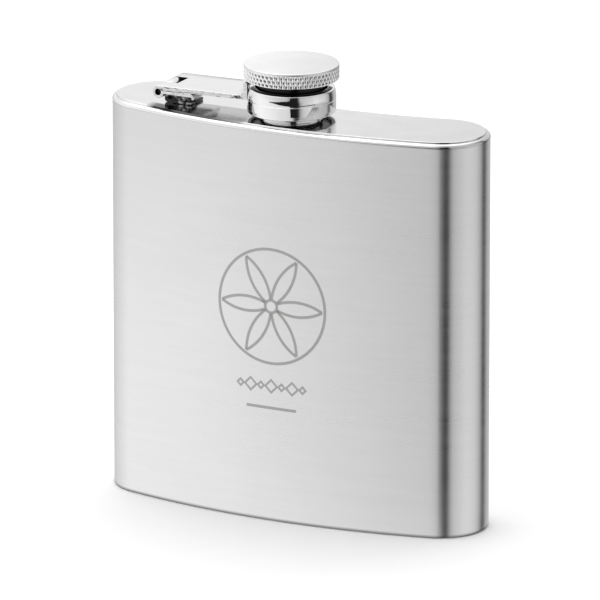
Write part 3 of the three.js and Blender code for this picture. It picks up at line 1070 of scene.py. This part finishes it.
def brushed_steel():
    """Sheet steel brushed along the horizontal, with painted shade: darker with height, most on the left,
    and darkest at its foot.
    """
    n = Material("brushed_steel")
    x = n.axis("X")
    z = n.axis("Z")
    fine = n.noise((90, 90, 1000), 1)
    broad = n.noise((30, 30, 520), 2)
    cloud = n.noise((34, 34, 42), 3)
    streaks = n.sum(n.multiply(fine, 0.25), n.multiply(broad, 0.75))
    tone = n.sum(n.ramp(streaks, 0.0, 0.5), n.ramp(cloud, 0.0, 0.5))
    colour = n.mix(tone, (0.724, 0.717, 0.719, 1), (0.794, 0.787, 0.789, 1), 0.0, 1.0)
    # Painted shade: a little darker with height, and a painted contact shadow in the lowest millimetre.
    upright = n.multiply(n.ramp(z, 1.06, 0.98, 10, 85), n.ramp(z, 0.3, 1.0, 0.3, 0.9))
    # Painted shade on the upper left of the wall.
    painted_high_left_shade = n.multiply(n.ramp(z, 0.0, 1.0, 50, 90), n.ramp(x, 1.0, 0.0, -45, 15))
    level = n.multiply(upright, n.ramp(painted_high_left_shade, 1.0, 0.91, 0.0, 1.0))
    rough = n.sum(n.ramp(broad, 0.27, 0.31), n.ramp(cloud, -0.02, 0.02))
    tangent = n.add("ShaderNodeTangent", direction_type="RADIAL", axis="Z").outputs["Tangent"]
    n.shade(Base_Color=n.tint(colour, level), Metallic=1.0, Roughness=rough, Tangent=tangent)
    n.shade(Anisotropic=0.9, Anisotropic_Rotation=0.25)
    return n.material


def polish(n):
    """A mirror polish with faint wipe marks and hairline scratches; returns its colour."""
    smudge = n.noise(160, 5)
    hairs = n.noise((3000, 400, 3000), 2)
    n.shade(Metallic=1.0, Roughness=n.sum(n.ramp(smudge, 0.03, 0.09), n.ramp(hairs, 0.0, 0.02)))
    n.shade(Normal=n.bump(n.sum(smudge, n.multiply(hairs, 0.1)), 0.01))
    return n.mix(smudge, (0.80, 0.80, 0.805, 1), grey(0.86))


def polished_steel():
    """The mirror finish of the rim, the collar and the ring, with painted shade that darkens the rim's right
    end.
    """
    n = Material("polished_steel")
    # Painted shade: darker towards the right, from x = 20 to 44 mm.
    n.shade(Base_Color=n.tint(polish(n), n.ramp(n.axis("X"), 1.0, 0.72, 20, 44)))
    return n.material


def polished_panel():
    """The polished top, with painted shade: a little darker to the right, dark under the arm, by the hinge
    and along the seam by the arm.
    """
    n = Material("polished_panel")
    x = n.axis("X")
    seam = BEND_RADIUS + HALF_THICKNESS - RIM_WIDTH
    radius = n.distance_from(0, BEND_CENTRE_Y)
    in_front = n.ramp(n.axis("Y"), 1.0, 0.0, NECK_Y, NECK_Y + 0.6)
    # Painted shade under the arm, by the hinge and along the seam near the arm.
    painted_shade_under_arm = n.multiply(n.between(x, -30, -27, -8.5, -6.5), in_front)
    corner = n.ramp(radius, 0.0, 1.0, seam - 3.2, seam - 2.4)
    painted_shade_by_hinge = n.multiply(n.between(x, -34.5, -32, -27.5, -24.5), corner)
    edge = n.ramp(radius, 0.0, 1.0, seam - 0.8, seam - 0.3)
    painted_shade_by_arm = n.multiply(n.between(x, -30, -25, -16, -6), edge)
    # Painted shade: a little darker towards the right.
    level = n.ramp(x, 1.02, 0.86, -15, 44)
    for place, least in ((painted_shade_under_arm, 0.57), (painted_shade_by_hinge, 0.05), (painted_shade_by_arm, 0.3)):
        level = n.multiply(level, n.ramp(place, 1.0, least, 0.0, 1.0))
    n.shade(Base_Color=n.tint(polish(n), level))
    n.shade(Roughness=n.ramp(n.noise((90, 1400, 90), 2), 0.08, 0.16))
    return n.material


def knurled_steel():
    """The cap's grip, with painted shade: bright on the tips of the diamonds and dark down in the pits."""
    n = Material("knurled_steel")
    grain = n.noise(FINE_GRAIN, 3)
    radius = n.distance_from(NECK_X, NECK_Y)
    # Painted shade: dark in the pits, full brightness on the tips.
    level = n.ramp(radius, 0.03, 1.0, HEAD_RADIUS - 0.36, HEAD_RADIUS - 0.14)
    colour = n.mix(grain, grey(0.84), grey(0.92))
    n.shade(Base_Color=n.tint(colour, level), Metallic=1.0, Roughness=n.ramp(grain, 0.16, 0.26))
    return n.material


def sheared_steel():
    """The cut edge of the arm's sheet: torn grain and dark pits drawn out along the cut."""
    n = Material("sheared_steel")
    torn = n.noise((900, 900, 3200), 4)
    pits = n.noise((520, 520, 1500), 3)
    colour = n.mix(torn, grey(0.55), grey(0.95))
    level = n.ramp(pits, 0.04, 1.0, 0.34, 0.43)
    n.shade(Base_Color=n.tint(colour, level), Metallic=1.0, Roughness=n.ramp(torn, 0.35, 0.5))
    n.shade(Normal=n.bump(torn, 0.03))
    return n.material


def painted_dark_reflection_steel():
    """The hinge's foot: painted dark reflections and shade, mottled at random."""
    n = Material("painted_dark_reflection_steel")
    patches = n.noise(420, 3)
    grain = n.noise(FINE_GRAIN, 3)
    # Painted dark reflections and shade, broken up at random.
    colour = n.mix(patches, grey(0.05), grey(0.62), 0.46, 0.58)
    n.shade(Base_Color=colour, Metallic=1.0, Roughness=n.ramp(grain, 0.22, 0.38))
    n.shade(Normal=n.bump(n.sum(patches, n.multiply(grain, 0.1)), 0.15))
    return n.material


def plated_steel():
    """The arm and the hinge's knuckle: tumbled, so a little softer than a mirror."""
    n = Material("plated_steel")
    smudge = n.noise(220, 5)
    hairs = n.noise((500, 4200, 4200), 3)
    rough = n.sum(n.ramp(smudge, 0.14, 0.22), n.ramp(hairs, 0.0, 0.06))
    colour = n.mix(hairs, grey(0.83), grey(0.91))
    n.shade(Base_Color=colour, Metallic=1.0, Roughness=rough)
    n.shade(Normal=n.bump(n.sum(n.multiply(smudge, 0.5), hairs), 0.004))
    return n.material


def satin_steel():
    """The cap's top: blasted satin steel with the faint rings of its turning."""
    n = Material("satin_steel")
    grain = n.noise(6000, 2)
    cloud = n.noise(120, 3)
    sockets = {"W": n.distance_from(NECK_X, NECK_Y), "Scale": 9.0, "Detail": 3.0}
    rings = n.add("ShaderNodeTexNoise", sockets, noise_dimensions="1D").outputs["Fac"]
    colour = n.mix(cloud, grey(0.79), (0.85, 0.85, 0.845, 1))
    # Painted shade: darker towards the right of the cap's top.
    colour = n.tint(colour, n.ramp(n.axis("X"), 1.05, 0.86, -9, 9))
    rough = n.sum(n.ramp(grain, 0.36, 0.44), n.ramp(rings, 0, 0.03))
    n.shade(Base_Color=colour, Metallic=1.0, Roughness=rough)
    n.shade(Normal=n.bump(n.sum(n.multiply(grain, 0.5), rings), 0.003))
    return n.material


def one_grain(name, scale, dark, bright, smoothest, roughest):
    """Steel whose colour, roughness and relief all follow one grain."""
    n = Material(name)
    grain = n.noise(scale, 3)
    n.shade(Base_Color=n.mix(grain, dark, bright), Metallic=1.0)
    n.shade(Roughness=n.ramp(grain, smoothest, roughest), Normal=n.bump(grain, 0.004))
    return n.material


def threaded_steel():
    """Turned steel of the neck, with fine rings round the axis."""
    return one_grain("threaded_steel", TURNING, (0.60, 0.60, 0.605, 1), grey(0.74), 0.16, 0.3)


def painted_shade_steel():
    """Near-black steel standing for painted shade on the cap's sleeve, the pin, the bores and the
    undersides.
    """
    return one_grain("painted_shade_steel", TURNING, (0.01, 0.01, 0.0105, 1), (0.03, 0.03, 0.031, 1), 0.15, 0.3)


def etched_steel():
    """Laser marking: a dull, slightly darker grey that breaks up the brushing."""
    return one_grain("etched_steel", 5000, (0.46, 0.46, 0.455, 1), (0.54, 0.54, 0.535, 1), 0.5, 0.62)


def silicone():
    """The seal: matt, milky silicone rubber with a slight moulded grain."""
    n = Material("silicone")
    grain = n.noise(FINE_GRAIN, 3)
    cloud = n.noise(300, 2)
    colour = n.mix(cloud, (0.80, 0.79, 0.76, 1), (0.87, 0.865, 0.84, 1))
    n.shade(Base_Color=colour, Roughness=n.ramp(grain, 0.45, 0.6), Subsurface_Weight=0.25)
    n.shade(Normal=n.bump(grain, 0.01))
    return n.material


def pale_floor():
    """The white paper under the flask."""
    n = Material("pale_floor")
    n.shade(Base_Color=grey(0.95), Roughness=0.9)
    return n.material


BRUSHED = brushed_steel()
POLISHED = polished_steel()
PANEL = polished_panel()
KNURLED = knurled_steel()
SHEARED = sheared_steel()
PAINTED_DARK_REFLECTION = painted_dark_reflection_steel()
PLATED = plated_steel()
SATIN = satin_steel()
THREADED = threaded_steel()
PAINTED_SHADE = painted_shade_steel()
SILICONE = silicone()
ETCHED = etched_steel()


# ---- Studio -----------------------------------------------------------------
CAMERA_AZIMUTH = 27.47  # degrees from -Y towards +X
CAMERA_ELEVATION = 16.29
CAMERA_DISTANCE = 2.427  # in metres
FOCAL_LENGTH = 632.8
AIM = (2.2, NECK_Y, 50.35)  # in millimetres
FLOOR_HALF_WIDTH = 6000

# Brightness of the studio by azimuth: the table below the horizon and the screens above it.
# Two dark stands draw the dark lines down the flask's round end.
TABLE = [
    (-180, 0.60),
    (-150, 0.56),
    (-112, 0.80),
    (-60, 1.10),
    (-30, 1.00),
    (-8, 0.91),
    (2, 0.87),
    (14, 0.86),
    (28, 0.72),
    (36.5, 0.10),
    (45.5, 0.04),
    (51, 0.42),
    (59, 0.66),
    (92, 0.92),
    (120, 0.76),
    (135.5, 0.50),
    (144, 0.05),
    (153.5, 0.08),
    (163, 0.42),
    (180, 0.60),
]
SCREENS = [
    (-180, 0.90),
    (-130, 0.95),
    (-60, 1.02),
    (-20, 0.78),
    (14, 0.62),
    (28, 0.22),
    (43.5, 0.08),
    (51, 0.60),
    (92, 0.80),
    (130, 0.60),
    (140.5, 0.12),
    (152.5, 0.80),
    (180, 0.90),
]
OVERHEAD = [
    (-180, 1.0),
    (-50, 1.0),
    (-15, 0.75),
    (15, 0.40),
    (70, 0.34),
    (120, 0.55),
    (165, 1.0),
    (180, 1.0),
]
# Half the height, in degrees, of the dark gap between the table and the screens.
DARK_GAP = [
    (-180, 0.0),
    (-32, 0.0),
    (-21, 1.0),
    (0, 4.5),
    (23, 7.5),
    (25, 20.0),
    (42, 20.0),
    (45, 0.0),
    (180, 0.0),
]
GAP_MIDDLE = -2.0
GAP_SCALE = 20.0
GAP_SOFTNESS = 1.5
DARK_LEVEL = 0.015
FRAME_EDGES = (-9.5, 15.5)  # elevations of the dark edges of the screen on the right
FRAME_HALF_HEIGHT = 1.6
FRAME_START = (45, 48)  # azimuths between which those edges fade in
FRAME_END = (90, 110)  # and out
HORIZON = (-3.0, 8.0)  # elevations between which the table gives way to the screens
CEILING_START = 26.0
CEILING_FULL = 80.0
CEILING = 2.75


def camera():
    data = bpy.data.cameras.new("camera")
    data.sensor_width = 36
    data.lens = FOCAL_LENGTH
    data.clip_start = 0.05
    made = bpy.data.objects.new("camera", data)
    azimuth = math.radians(CAMERA_AZIMUTH)
    elevation = math.radians(CAMERA_ELEVATION)
    flat = math.cos(elevation)
    away = Vector((math.sin(azimuth) * flat, -math.cos(azimuth) * flat, math.sin(elevation)))
    made.location = Vector(AIM) * MM + away * CAMERA_DISTANCE
    made.rotation_euler = (-away).to_track_quat("-Z", "Y").to_euler()
    bpy.context.scene.collection.objects.link(made)
    bpy.context.scene.camera = made


def part_of_turn(azimuth):
    """0 at -180 degrees and 1 at 180."""
    return (azimuth + 180) / 360


class World(Tree):
    """The nodes of the studio's light, by azimuth and elevation."""

    def smooth(self, value, start, end, low=0.0, high=1.0):
        return self.ramp(value, low, high, start, end, "SMOOTHSTEP")

    def by_azimuth(self, turn, table, scale=1.0):
        """A table's value at an azimuth, which the ramp holds as a part of scale."""
        node = self.add("ShaderNodeValToRGB", {"Fac": turn})
        stops = node.color_ramp.elements
        while len(stops) < len(table):
            stops.new(0.5)
        for stop, (degrees, level) in zip(stops, table):
            stop.position = part_of_turn(degrees)
            stop.color = grey(level / scale)
        return self.multiply(node.outputs["Color"], scale)

    def blend(self, factor, a, b):
        """a where factor is 0 and b where it is 1."""
        rest = self.math("SUBTRACT", 1.0, factor)
        return self.sum(self.multiply(rest, a), self.multiply(factor, b))

    def off(self, value, middle):
        return self.math("ABSOLUTE", self.math("SUBTRACT", value, middle))

    def dark_places(self, turn, degrees):
        """1 in the dark gap and on the edges of the screen's frame."""
        half = self.by_azimuth(turn, DARK_GAP, GAP_SCALE)
        present = self.math("GREATER_THAN", half, 0.05)
        soft_end = self.sum(half, GAP_SOFTNESS)
        dark = self.multiply(self.smooth(self.off(degrees, GAP_MIDDLE), half, soft_end, 1.0, 0.0), present)
        right = self.multiply(
            self.smooth(turn, *map(part_of_turn, FRAME_START)),
            self.smooth(turn, *map(part_of_turn, FRAME_END), 1.0, 0.0),
        )
        for edge in FRAME_EDGES:
            line = self.smooth(self.off(degrees, edge), 0.5 * FRAME_HALF_HEIGHT, FRAME_HALF_HEIGHT, 1.0, 0.0)
            dark = self.math("MAXIMUM", dark, self.multiply(line, right))
        return dark


def studio_world():
    world = bpy.data.worlds.new("studio")
    world.use_nodes = True
    bpy.context.scene.world = world
    n = World(world.node_tree)
    where = n.add("ShaderNodeTexCoord").outputs["Generated"]
    split = n.add("ShaderNodeSeparateXYZ", {0: where})
    toward = n.multiply(split.outputs["Y"], -1.0)
    turn = n.sum(n.math("DIVIDE", n.math("ARCTAN2", split.outputs["X"], toward), TAU), 0.5)
    degrees = n.multiply(n.math("ARCSINE", split.outputs["Z"]), 360 / TAU)

    level = n.blend(n.smooth(degrees, *HORIZON), n.by_azimuth(turn, TABLE), n.by_azimuth(turn, SCREENS))
    level = n.blend(n.dark_places(turn, degrees), level, DARK_LEVEL)
    ceiling = n.multiply(n.by_azimuth(turn, OVERHEAD), CEILING)
    level = n.blend(n.smooth(degrees, CEILING_START, CEILING_FULL), level, ceiling)
    n.set(world.node_tree.nodes["Background"], "Color", level)


def floor():
    size = FLOOR_HALF_WIDTH
    corners = [(-size, -size, 0), (size, -size, 0), (size, size, 0), (-size, size, 0)]
    made = new_object("floor", corners, [(0, 1, 2, 3)])
    paint(made, [pale_floor()])
    made.visible_glossy = False  # the steel mirrors the table of the studio instead


def main():
    camera()
    studio_world()
    floor()
    bpy.context.scene.view_settings.view_transform = "Standard"
    for make in (
        flask_wall,
        top_panel,
        bottom_panel,
        neck_tube,
        neck_collar,
        hinge_bracket,
        hinge_pin,
        retainer_arm,
        retainer_ring,
        cap_gasket,
        cap_sleeve,
        cap_head,
        front_mark,
    ):
        make()


main()
